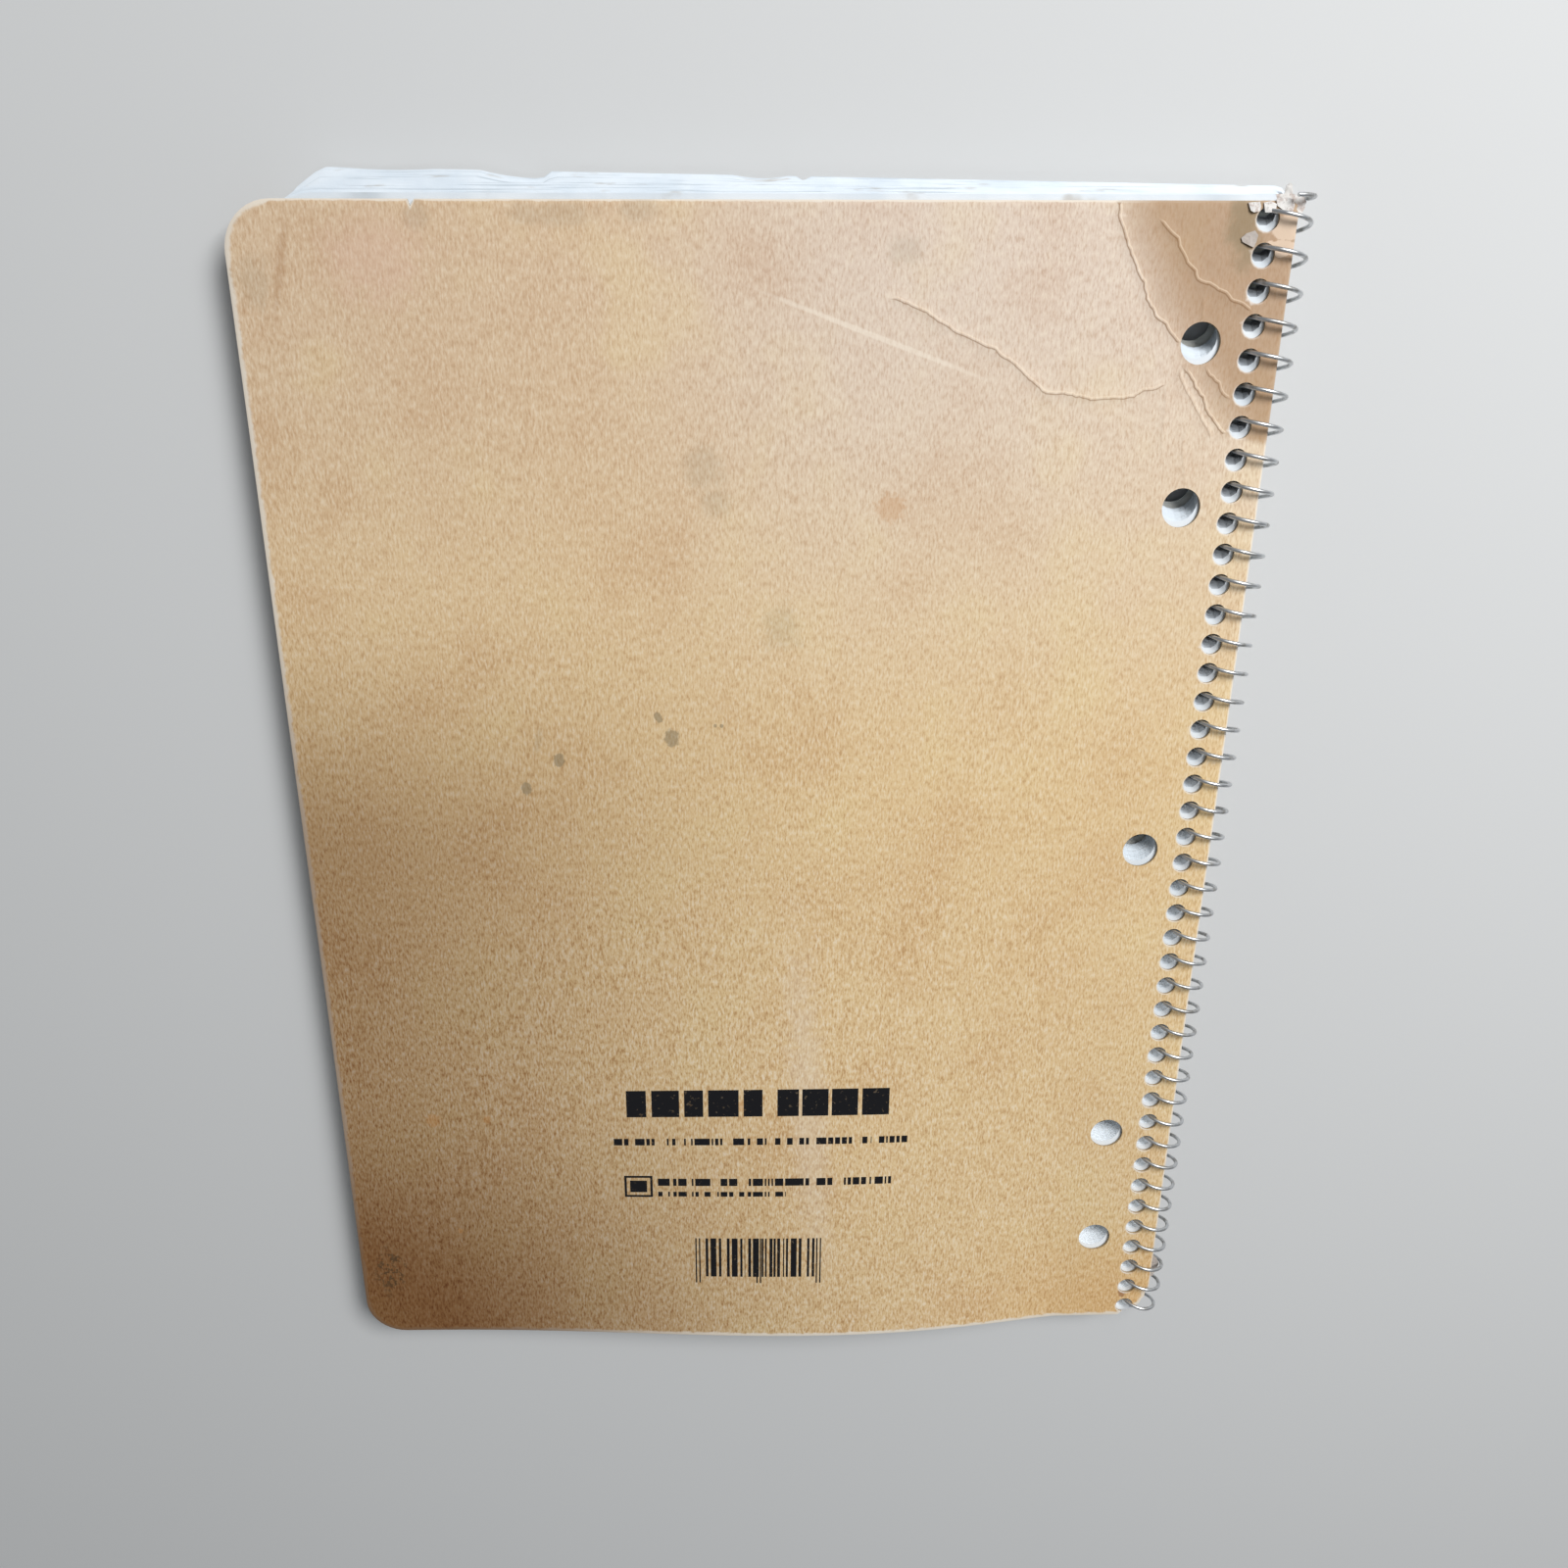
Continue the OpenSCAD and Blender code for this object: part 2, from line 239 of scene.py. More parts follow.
def printed_marks(tree, x, y):
    """The dark print near the foot: a heading, three small lines, a framed block and a striped label."""
    solid = [bar_mask(tree, x, y, u0, u1, 194.4, 201.8) for u0, u1 in HEADING]
    # a plain framed block
    frame_out = bar_mask(tree, x, y, 67.6, 74.6, 218.6, 224.8)
    frame_in = bar_mask(tree, x, y, 68.2, 74.0, 219.2, 224.2)
    solid.append(add(tree, MATH, frame_out, frame_in, operation="SUBTRACT", use_clamp=True))
    solid.append(bar_mask(tree, x, y, 69.0, 73.2, 220.0, 223.4))
    # small lines of fine ticks
    runs = [bar_mask(tree, x, y, u0, u1, v0, v1) for v0, v1, found in SMALL_LINES for u0, u1 in found]
    inked = strips(tree, x, seed=17.0, step_mm=0.42, share=0.72)
    ticks = joined(tree, "MULTIPLY", joined(tree, "MAXIMUM", *runs), inked)
    # a label of upright bars of uneven width, with a pair of longer ones at each end and in the middle
    label = bar_mask(tree, x, y, 86.6, 115.0, 236.9, 248.4)
    waves = []
    for step_mm in (0.17, 0.29, 0.83):
        wave = add(tree, MATH, x, step_mm * MM, operation="DIVIDE")
        waves.append(add(tree, MATH, wave, operation="SINE"))
    wave = add(tree, MATH, waves[0], waves[1], operation="ADD")
    wave = add(tree, MATH, waves[2], 0.5, wave, operation="MULTIPLY_ADD")
    dark = add(tree, MATH, wave, -0.15, operation="GREATER_THAN")
    striped = joined(tree, "MULTIPLY", label, dark)
    for u in (84.9, 85.8, 100.3, 101.2, 115.4, 116.3):
        solid.append(bar_mask(tree, x, y, u, u + 0.35, 236.9, 250.3))
    return joined(tree, "MAXIMUM", *solid, ticks, striped)


# Stains on the cover, in the order they lie: which noise frays them, how strong they are and their
# tone, how ragged and soft they are, and each one's place across and down, width, height and turn.
STAINS = [
    # a rosy cloud, a chalky smear and a damp patch
    ("wide", 0.3, "#dcb6a4", (0.6, 1.4), [(28, 10, 17, 14, 0)]),
    ("wide", 0.26, "#ecdfcc", (0.7, 1.4), [(113, 202, 8, 74, 4)]),
    ("wide", 0.6, "#8a7c60", (0.6, 1.1), [(193.2, 4.6, 6.5, 11.5, 8)]),
    # the liner is torn off at the head of the spine, down to a pinkish ply
    ("fine", 0.85, "#e0c9b2", (), [
        (201.4, 4.7, 5.4, 4.6, 0, 0.25, 0.2), (200.6, 8.3, 6.4, 3.0, 0, 0.3, 0.2),
    ]),
    # dried drops: a grey film
    ("fine", 0.55, "#7c7058", (), [
        (49.8, 117.0, 2.2, 3.2, 10), (57.2, 110.4, 2.4, 3.0, 0), (81.8, 105.6, 3.2, 3.9, 0),
        (79.0, 101.0, 1.6, 2.6, 20), (91.3, 103.0, 0.8, 0.8, 0), (92.6, 103.0, 0.8, 0.8, 0),
    ]),
    # grey smears
    ("wide", 0.17, "#8b8069", (0.7, 1.1), [
        (89.4, 49.0, 6.5, 9.0, 20), (92.0, 55.6, 5.0, 5.0, 0), (105.5, 82.0, 7.0, 9.0, 0),
        (78.0, 2.0, 6.0, 4.0, 0), (52.9, 106.0, 1.4, 6.0, -15), (128.0, 8.6, 6.0, 5.0, 0),
        (62.0, 2.6, 16.0, 4.0, 0), (4.6, 14.6, 6.0, 8.0, 0), (36.2, 3.0, 5.0, 4.0, 0),
    ]),
    # rusty spots
    ("fine", 0.32, "#c08444", (0.5, 0.6), [
        (127.4, 57.0, 5.4, 5.4, 0), (21.8, 202.4, 3.6, 3.6, 0), (34.9, 202.2, 1.6, 2.2, 0),
        (25.9, 235.0, 1.2, 1.6, 0), (97.0, 199.0, 4.0, 3.0, 0),
    ]),
    # a bend at the head's fore corner, and two reddish marks at the foot of the spine
    ("fine", 0.34, "#a97c52", (0.7, 1.3), [(10.0, 11.5, 1.7, 17, -13.6)]),
    ("fine", 0.6, "#8a5137", (), [(196.4, 259.6, 1.6, 2.6, 20), (196.6, 263.4, 2.2, 1.6, 30)]),
    # a long scratch
    ("wide", 0.5, "#f4e8d6", (0.3, 0.9), [(123.6, 24.2, 43, 1.0, -19.8)]),
]


def chipboard():
    """Kraft-lined chipboard, rolled from pulp: matte, with short pale and dark fibres that run up
    the sheet, paler where it is rubbed and darker where hands and moisture have stained it. Painted
    shade darkens it towards the foot's fore corner, and painted highlights and shade lie on its
    folds and on the rims of its coil holes."""
    material, tree, place = new_material("chipboard_kraft")
    x, y, _ = add(tree, "ShaderNodeSeparateXYZ", place).node.outputs
    names = ("outer", "fold", "edge_mm", "lit_hole_rim", "grime")
    outer, fold, edge_mm, lit_hole_rim, grime = (
        add(tree, "ShaderNodeAttribute", attribute_name=name, out="Fac") for name in names
    )

    def across(u0, u1, low=0.0, high=1.0):
        x0, x1 = FORE_X + u0 * MM, FORE_X + u1 * MM
        return add(tree, RANGE, x, x0, x1, low, high, interpolation_type="SMOOTHSTEP")

    def down(v0, v1, low=0.0, high=1.0):
        y0, y1 = HEAD_Y - v0 * MM, HEAD_Y - v1 * MM
        return add(tree, RANGE, y, y0, y1, low, high, interpolation_type="SMOOTHSTEP")

    # single fibres are some 0.03 mm wide, too fine to show: they are drawn as tufts of 0.4 mm
    cloud = grain(tree, place, 24, detail=3)
    mottle = grain(tree, place, 2.0, (1, 1.6, 1), detail=3, rough=0.6)
    fibre = grain(tree, place, 0.42, (1, 3.4, 1), detail=2, rough=0.6)
    rags = {"fine": grain(tree, place, 0.9, detail=3), "wide": grain(tree, place, 3.4, detail=4, rough=0.6)}

    # the fibres show more towards the foot, and most at its fore corner
    to_fore = joined(tree, "MULTIPLY", across(200, 0, -0.26, 0.3), down(50, 200))
    strong = add(tree, MATH, down(20, 240, 0.6, 1.22), to_fore, operation="ADD")
    # how far in from the edge, with a wander
    uneven = add(tree, MATH, rags["fine"], 0.7, operation="MULTIPLY")
    uneven = add(tree, MATH, rags["wide"], 1.5, uneven, operation="MULTIPLY_ADD")
    from_edge = add(tree, MATH, edge_mm, uneven, operation="SUBTRACT")
    rubbed_off = (0.15, -0.6)
    # mostly painted shade, darker and browner down the fore edge and at the foot where the lamp's
    # light falls off, and partly browning by hands and damp
    shade_and_browning = joined(tree, "MULTIPLY", across(132, -20), down(68, 135, 0, 0.73))
    lower = joined(tree, "MULTIPLY", across(170, 20), down(185, 268, 0, 0.4))
    shade_and_browning = add(tree, MATH, shade_and_browning, lower, operation="ADD", use_clamp=True)
    warm = joined(tree, "MULTIPLY", across(140, 200), down(225, 267))
    foot_rim = joined(tree, "MULTIPLY", across(40, 110), down(255, 263), 0.9)

    # golden kraft, bleached pinkish towards the head
    bleached = stain(tree, "#d8bd9d", across(60, 130), None, 1, "#deccbb")
    base = stain(tree, "#e4c797", down(125, 8), None, 1, bleached)
    layers = [
        # clouds in the pulp, then fine streaks of fibre
        (cloud, (0.5, 0.74), 0.16, "#d3a87e", "MULTIPLY"),
        (cloud, (0.5, 0.3), 0.2, "#ecd9a2"),
        (mottle, (0.5, 0.74), 0.12, "#cfa675", "MULTIPLY"),
        (mottle, (0.5, 0.3), 0.1, "#efe0c6"),
        (fibre, (0.46, 0.76), joined(tree, "MULTIPLY", strong, 0.6), "#bd976a", "MULTIPLY"),
        (fibre, (0.52, 0.26), joined(tree, "MULTIPLY", strong, 0.56), "#f8ecd6"),
        # edges rubbed to paler pulp, then the painted shade and browning towards the foot's fore corner
        (from_edge, rubbed_off, 0.9, "#e9dfd0"),
        (shade_and_browning, None, 1, "#94785f", "MULTIPLY"),
        # dirt worked into the dog-ear, a warmer corner at the foot and a pale rim beside it
        (grime, None, 0.8, "#a37d55"),
        (warm, None, 1, "#fbeedc", "MULTIPLY"),
        (from_edge, rubbed_off, foot_rim, "#f0e6d6"),
    ]
    for layer in layers:
        base = stain(tree, base, *layer)
    for rag, amount, tone, shape, spots in STAINS:
        masks = [blot(tree, place, rags[rag], *spot, *shape) for spot in spots]
        base = stain(tree, base, joined(tree, "MAXIMUM", *masks), None, amount, tone)

    # grit at the foot's fore corner, a painted highlight and painted shade on the two sides of each
    # fold, and a painted highlight on the rims of the coil holes where their walls face the lamp
    gritty = blot(tree, place, rags["wide"], 7.5, 247, 8, 13, 0, 0.6, 0.8)
    base = stain(tree, base, rags["fine"], (0.5, 0.6), joined(tree, "MULTIPLY", gritty, 0.75), "#4a3923")
    # painted highlight on the side of each fold towards the lamp, painted shade on the side away
    base = stain(tree, base, fold, (0.1, 1), 0.4, "#f4e2c8")
    base = stain(tree, base, fold, (-0.1, -1), 0.66, "#8a6034")
    # painted highlight on the lit rims of the coil holes
    base = stain(tree, base, lit_hole_rim, None, 0.9, "#f4efe8")

    # black ink, worn a little where the fibres stand up
    worn = add(tree, RANGE, rags["fine"], 0.28, 0.38, 0.86, 1, interpolation_type="SMOOTHSTEP")
    base = stain(tree, base, printed_marks(tree, x, y), None, worn, "#0d0d12")

    # the inside is bare grey-brown board
    bare_board = stain(tree, "#b79d77", fibre, (0.4, 0.65), 1, "#a0845c")
    base = stain(tree, bare_board, outer, (0.5, 0.8), 1, base)
    relief = add(tree, MATH, mottle, 0.8, fibre, operation="MULTIPLY_ADD")
    links = {"Height": relief, "Distance": 0.05 * MM, "Strength": 0.6}
    shade(tree, {
        "Base Color": base,
        "Roughness": 0.82,
        "Specular IOR Level": 0.3,
        "Normal": add(tree, "ShaderNodeBump", links=links),
    })
    return material


# ---------------------------------------------------------------- flat shapes with holes


def mesh_object(name, points, faces, material):
    """An object at the origin with its place in its mesh."""
    mesh = bpy.data.meshes.new(name)
    mesh.from_pydata([tuple(p) for p in points], [], [tuple(f) for f in faces])
    mesh.update()
    mesh.materials.append(material)
    piece = bpy.data.objects.new(name, mesh)
    bpy.context.scene.collection.objects.link(piece)
    return piece


def ring(x, y, r, count):
    """A closed loop of points round a hole."""
    return arc(x, y, r, 0, 360, count)[:-1]


def arc(x, y, r, start, end, steps):
    """Points along a part of a circle, with both ends."""
    angles = [math.radians(start + (end - start) * i / steps) for i in range(steps + 1)]
    return [(x + r * math.cos(a), y + r * math.sin(a)) for a in angles]


def spaced(points, gap, closed=False):
    """The same line with a point at least every gap."""
    found = []
    ends = points[1:] + ([points[0]] if closed else [])
    for a, b in zip(points, ends):
        steps = max(1, math.ceil(math.dist(a, b) / gap))
        found += [(a[0] + (b[0] - a[0]) * i / steps, a[1] + (b[1] - a[1]) * i / steps) for i in range(steps)]
    return found if closed else found + [points[-1]]


def beside(line, far, closed=False):
    """The line moved to its left by far."""
    line = np.array(line)
    if closed:
        ways = np.roll(line, -1, 0) - np.roll(line, 1, 0)
    else:
        ways = np.gradient(line, axis=0)
    ways /= np.linalg.norm(ways, axis=1)[:, None]
    return [tuple(p) for p in line + far * np.stack([-ways[:, 1], ways[:, 0]], 1)]


def line_far(places, points):
    """How far each place is from a line through points: more than 0 on the line's left."""
    best = np.full(len(places), 1.0)
    for a, b in zip(points[:-1], points[1:]):
        a, b = np.array(a), np.array(b)
        way = b - a
        off = places - a
        t = np.clip((off @ way) / (way @ way), 0, 1)
        far = np.hypot(*(off - t[:, None] * way).T)
        side = np.where(way[0] * off[:, 1] < way[1] * off[:, 0], -1, 1)
        best = np.where(far < np.abs(best), far * side, best)
    return best


def inside(places, loop):
    """Which places are inside a closed loop."""
    loop = np.array(loop)
    found = np.zeros(len(places), bool)
    px, py = places.T
    for (x0, y0), (x1, y1) in zip(loop, np.roll(loop, -1, 0)):
        if y0 == y1:
            continue
        hit = (y0 > py) != (y1 > py)
        found ^= hit & (px < (x1 - x0) * (py - y0) / (y1 - y0) + x0)
    return found


def cut_out(loops, rows=(), extra=()):
    """Triangles that fill the first loop but not the others, with points on all rows and at extra."""
    points, edges = [], []
    for loop in loops:
        start = len(points)
        points += loop
        edges += [(start + i, start + (i + 1) % len(loop)) for i in range(len(loop))]
    for row in rows:
        start = len(points)
        points += row
        edges += [(start + i, start + i + 1) for i in range(len(row) - 1)]
    points += [tuple(p) for p in extra]
    flat, _, faces, *_ = geometry.delaunay_2d_cdt([Vector(p) for p in points], edges, [], 0, 1e-7)
    flat = np.array([tuple(p) for p in flat])
    faces = np.array([f for f in faces if len(f) == 3])
    middles = flat[faces].mean(1)
    solid = inside(middles, loops[0])
    for loop in loops[1:]:
        solid &= ~inside(middles, loop)
    faces = faces[solid]
    used = np.unique(faces)
    renumber = np.full(len(flat), -1)
    renumber[used] = np.arange(len(used))
    flat, faces = flat[used], renumber[faces]
    first, second, third = (flat[faces[:, i]] for i in range(3))
    clockwise = np.cross(second - first, third - first) < 0
    faces[clockwise] = faces[clockwise][:, ::-1]
    return flat, faces


def plate(name, flat, faces, top, under, material):
    """The triangles above and below, with walls round the edge and the holes."""
    count = len(flat)
    points = np.concatenate([np.column_stack([flat, top]), np.column_stack([flat, under])])
    sides = {(p, q) for a, b, c in faces for p, q in ((a, b), (b, c), (c, a))}
    walls = [(q, p, p + count, q + count) for p, q in sorted(sides) if (q, p) not in sides]
    all_faces = [tuple(f) for f in faces] + [tuple(f[::-1] + count) for f in faces] + walls
    return mesh_object(name, points, all_faces, material)


def give(mesh, name, values, domain="POINT"):
    """Gives a mesh an attribute that its material reads."""
    attribute = mesh.attributes.new(name, "FLOAT", domain)
    attribute.data.foreach_set("value", np.asarray(values, dtype=np.float32))


# ---------------------------------------------------------------- back cover

# the front cover droops, and keeps clear of the back cover's spine edge
card_points = np.array([v.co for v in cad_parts["front_cover"].data.vertices])
CARD_SLOPE, CARD_AT_ZERO = np.polyfit(card_points[:, 0], card_points[:, 2], 1)
CARD_DROOP = math.atan(CARD_SLOPE)
CARD_IN = math.hypot(SPINE_X - AXIS_X, BOARD_OUT - AXIS_Z) + 0.12 * MM

CORNER_R = 9.5 * MM
WORN_R = 9.8 * MM


def board_edge():
    """The worn outline of the chipboard, as the solid has it."""
    rag = [0.35 * MM * math.sin(math.radians(137 * i)) * math.cos(math.radians(71 * i)) for i in range(13)]
    foot_corner = []
    for i in range(13):
        a, r = math.radians(270 + 7.5 * i), WORN_R + rag[i]
        foot_corner.append((SPINE_X - WORN_R + r * math.cos(a), FOOT_Y + WORN_R + r * math.sin(a)))
    head = [(0, -2.1), (-0.5, -1.5), (-0.4, -0.7), (-1.3, -0.2), (-2.2, 0)]
    head = [(SPINE_X + x * MM, HEAD_Y + y * MM) for x, y in head]
    tear = [(36.2, 0), (35.3, 1.3), (34.9, 0)]
    return (
        arc(FORE_X + CORNER_R, FOOT_Y + CORNER_R, CORNER_R, 180, 270, 10)
        + foot_corner
        + head
        + [cover_xy(u, v) for u, v in tear]
        + arc(FORE_X + CORNER_R, HEAD_Y - CORNER_R, CORNER_R, 90, 180, 10)
    )


# Folds that stand up as thin ridges, as (u, v) points in mm from head to foot, and how high in mm.
DOG_EAR = [
    (169.1, 0.6), (170.1, 5.9), (173.0, 10.7), (175.0, 14.5), (176.8, 18.5), (179.2, 21.4), (182.6, 24.9),
]
DOG_EAR_END = [(185.4, 30.8), (187.8, 34.1), (190.5, 38.0), (194.3, 42.4)]
FOLDS = [
    (DOG_EAR, 0.15),
    (DOG_EAR_END, 0.15),
    ([(184.2, 31.2), (186.2, 35.0), (189.0, 38.9), (191.6, 42.6)], 0.09),
    ([(177.7, 3.5), (180.5, 6.7), (182.5, 10.3), (185.6, 13.6), (189.1, 15.2), (192.2, 17.5),
      (196.1, 18.7)], 0.13),
    ([(189.4, 30.8), (191.8, 32.8), (194.1, 35.4)], 0.12),
    ([(187.1, 17.4), (187.2, 21.3)], 0.06),
    ([(181.4, 34.0), (181.9, 44.5)], 0.05),
    ([(186.2, 43.0), (187.4, 52.0)], 0.05),
    ([(127.0, 17.3), (133.4, 19.6), (139.6, 23.1), (146.9, 26.6), (153.0, 30.9), (157.0, 34.2),
      (164.2, 35.5), (173.2, 35.6), (180.2, 33.2)], 0.12),
]
FOLD_HALF = 0.5 * MM
WARP = 5 * MM


def warp_height(x, y):
    """How far the board has warped up: along its foot, as the solid has it."""
    width = COVER_W - BINDER_MARGIN - 2 * BINDER_R
    peak, late = 0.66, 1.3  # where across it is highest, and how it falls away towards the coil
    early = late * peak / (1 - peak)
    s = np.clip((x - FORE_X) / width, 0, 1)
    across = s**early * (1 - s) ** late / (peak**early * (1 - peak) ** late)
    along = np.maximum(0, (MIDDLE_Y - y) / (COVER_H / 2)) ** 1.7
    return WARP * across * along


def wander(count):
    """Small smooth strays for the points of a fold."""
    strays = rng.normal(0, 0.3 * MM, (count, 2))
    return (strays + np.roll(strays, 1, 0) + np.roll(strays, 2, 0)) / 3


def grimed(flat):
    """Dirty behind the fold of the dog-ear, most of all near it."""
    fold = [cover_xy(u, v) for u, v in DOG_EAR + DOG_EAR_END]
    behind = inside(flat, fold + [cover_xy(230, 49.6), cover_xy(230, -20), cover_xy(169.1, -20)])
    far = np.abs(line_far(flat, fold))
    return np.where(behind, np.clip(0.35 + far / (14 * MM), 0, 0.85), 0)


def make_back_cover(material):
    """The chipboard: warped, folded and rounded at its edges, with the marks that its material reads."""
    edge = spaced(board_edge(), 1.6 * MM, closed=True)
    coil_holes = [(wire_x(BOARD_MID), hole_y(k)) for k in range(HOLES)]
    loops = [edge] + [ring(x, y, COIL_HOLE_R, 20) for x, y in coil_holes]
    loops += [ring(BINDER_X, y, BINDER_R, 48) for y in BINDER_Y]
    lines = [spaced([cover_xy(u, v) for u, v in points], 0.9 * MM) for points, _ in FOLDS]
    lines = [[(x + dx, y + dy) for (x, y), (dx, dy) in zip(line, wander(len(line)))] for line in lines]
    rows = [beside(line, side * FOLD_HALF / 2) for line in lines for side in (-2, -1, 0, 1, 2)]

    # points close inside the edge and round the coil holes, and a loose field over the rest
    close = np.array([p for far in (0.4, 1.1) for p in beside(edge, far * MM, closed=True)])
    close = close[np.abs(line_far(close, edge + edge[:1])) > 0.38 * MM]
    close = np.concatenate([close] + [ring(x, y, COIL_HOLE_R + 0.4 * MM, 14) for x, y in coil_holes])
    close = close[inside(close, edge)]
    gap = 2.3 * MM
    xs = np.arange(FORE_X + gap / 2, SPINE_X, gap)
    ys = np.arange(FOOT_Y + gap / 2, HEAD_Y, gap)
    field = np.array([(x + (j % 2) * gap / 2, y) for j, y in enumerate(ys) for x in xs])
    field += rng.uniform(-0.25, 0.25, field.shape) * gap
    marks = np.array([p for part in loops + rows for p in part] + [tuple(p) for p in close])
    field = [p for p in field if np.min(np.abs(marks - p).sum(1)) > 0.9 * MM]
    flat, faces = cut_out(loops, rows, [*close, *field])

    x, y = flat.T
    raised = np.zeros(len(flat))
    # which side of a fold each point lies on, for the fold's painted highlight and painted shade
    fold = np.zeros(len(flat))
    for (_, height), line in zip(FOLDS, lines):
        far = np.clip(line_far(flat, line) / FOLD_HALF, -1, 1)
        raised = np.maximum(raised, height * MM * np.cos(far * math.pi / 2) ** 2)
        fold += np.sin(far * math.pi) * height / 0.15
    far_edge = np.abs(line_far(flat, edge + edge[:1]))
    round_off = 0.14 * MM * np.clip(1 - far_edge / (0.4 * MM), 0, 1)
    uneven = 0.10 * MM * np.sin(x * 61 + 1.3) * np.sin(y * 47 + 0.4)
    top = BOARD_OUT + warp_height(x, y) + uneven + raised - round_off
    under = BOARD_IN + warp_height(x, y)
    cover = plate("back_cover_board", flat, faces, top, under, material)
    mesh = cover.data
    for i, polygon in enumerate(mesh.polygons):
        polygon.use_smooth = i < 2 * len(faces)
    mesh.set_sharp_from_angle(angle=math.radians(50))

    # a painted highlight on the rims of the coil holes, on their fore and foot side, whose walls face the
    # lamp
    lit_hole_rim = np.zeros(len(flat))
    for hole_x, y_hole in coil_holes:
        off = flat - (hole_x, y_hole)
        far = np.hypot(*off.T)
        near = np.clip(1 - (far - COIL_HOLE_R) / (0.4 * MM), 0, 1)
        lit_hole_rim = np.maximum(lit_hole_rim, near * np.clip(-(off @ (0.8, 0.6)) / far, 0, 1))
    # the spine and head edges are rubbed less than half as far in as the others
    by_head = (HEAD_Y - y < far_edge + 0.1 * MM) & (x > FORE_X + CORNER_R)
    firm = (SPINE_X - x < far_edge + 0.1 * MM) | by_head
    band = far_edge / MM * np.where(firm, 2.6, 1)
    count = len(flat)
    give(mesh, "outer", np.repeat([1, 0], count))
    give(mesh, "fold", np.tile(fold, 2))
    give(mesh, "edge_mm", np.tile(np.minimum(band, 6), 2))
    give(mesh, "lit_hole_rim", np.tile(lit_hole_rim, 2))
    give(mesh, "grime", np.tile(grimed(flat), 2))
    return cover


# ---------------------------------------------------------------- torn bits at the spine's ends

# Each is an outline in mm as (u, v) and how high it stands, counted up from the board's face.
HEAD_SCRAP = [
    (198.6, 0.9, -1.2), (198.7, -1.2, -1.0), (200.3, -1.3, -0.9), (200.4, -2.6, -0.6), (200.9, -3.1, -0.4),
    (201.5, -2.8, -0.6), (201.9, -1.3, -0.9), (202.8, -1.0, -1.1), (204.2, -0.9, -1.3), (205.1, 0.0, -1.6),
    (204.9, 1.2, -1.6), (204.1, 2.7, -1.4), (202.6, 2.5, -1.3), (201.8, 0.9, -1.2),
]
FLAPS = [
    [(193.2, 0.4, 0.1), (193.8, 1.8, 0.3), (194.4, 2.1, 0.4), (195.5, 1.9, 0.35), (195.7, 1.1, 0.2),
     (195.4, 0.2, 0.1)],
    [(196.2, 0.4, 0.1), (196.6, 2.1, 0.4), (197.8, 2.1, 0.5), (198.6, 1.4, 0.3), (198.7, 0.6, 0.15),
     (197.5, 0.1, 0.1)],
    [(198.5, -0.2, 0.1), (199.5, -0.6, 0.2), (200.7, -0.5, 0.14), (201.7, -0.2, 0.1), (202.2, 0.8, 0.08),
     (201.9, 2.1, 0.06), (200.8, 2.0, 0.08), (199.6, 1.4, 0.15), (198.8, 0.9, 0.15)],
    [(192.7, 6.5, 0.1), (193.0, 7.2, 0.15), (194.5, 7.9, 0.3), (195.3, 8.2, 0.2), (195.7, 7.2, 0.1),
     (195.9, 6.0, 0.1), (195.2, 5.2, 0.1), (193.6, 5.7, 0.1)],
]
FOOT_TAB = [
    (202.4, 248.6, -1.2), (204.0, 248.4, -1.3), (205.2, 249.7, -1.6), (206.1, 251.8, -2.1),
    (205.6, 253.9, -2.0), (204.5, 255.5, -1.6), (203.2, 255.2, -1.3), (202.4, 253.6, -1.2),
]
SCRAP_T = 0.16 * MM
SCRAP_GRID = 0.45 * MM


def scrap(name, outlines, material):
    """Thin torn bits, crumpled and standing at the heights given round their outlines."""
    points, faces = [], []
    for outline in outlines:
        loop = [cover_xy(u, v) for u, v, _ in outline][::-1]
        heights = np.array([z for _, _, z in outline][::-1]) * MM
        low, high = np.min(loop, 0), np.max(loop, 0)
        xs, ys = (np.arange(low[i], high[i], SCRAP_GRID) for i in (0, 1))
        grid = np.array([(x, y) for x in xs for y in ys])
        grid = grid + rng.uniform(-0.12, 0.12, (len(grid), 2)) * MM
        away = np.abs(line_far(grid, loop + loop[:1]))
        grid = grid[inside(grid, loop) & (away > 0.2 * MM)]
        flat, triangles = cut_out([loop], extra=grid)
        weight = 1 / (np.linalg.norm(flat[:, None] - np.array(loop)[None], axis=2) + 0.05 * MM) ** 3
        height = (weight * heights).sum(1) / weight.sum(1)
        shaken = 0.06 * MM * rng.uniform(-1, 1, len(flat))
        lift = warp_height(*flat.T) + BOARD_OUT + height + shaken
        piece = plate("bit", flat, triangles, lift + SCRAP_T, lift, material)
        start = len(points)
        points += [tuple(v.co) for v in piece.data.vertices]
        faces += [tuple(start + i for i in polygon.vertices) for polygon in piece.data.polygons]
        bpy.data.objects.remove(piece)
    return mesh_object(name, points, faces, material)


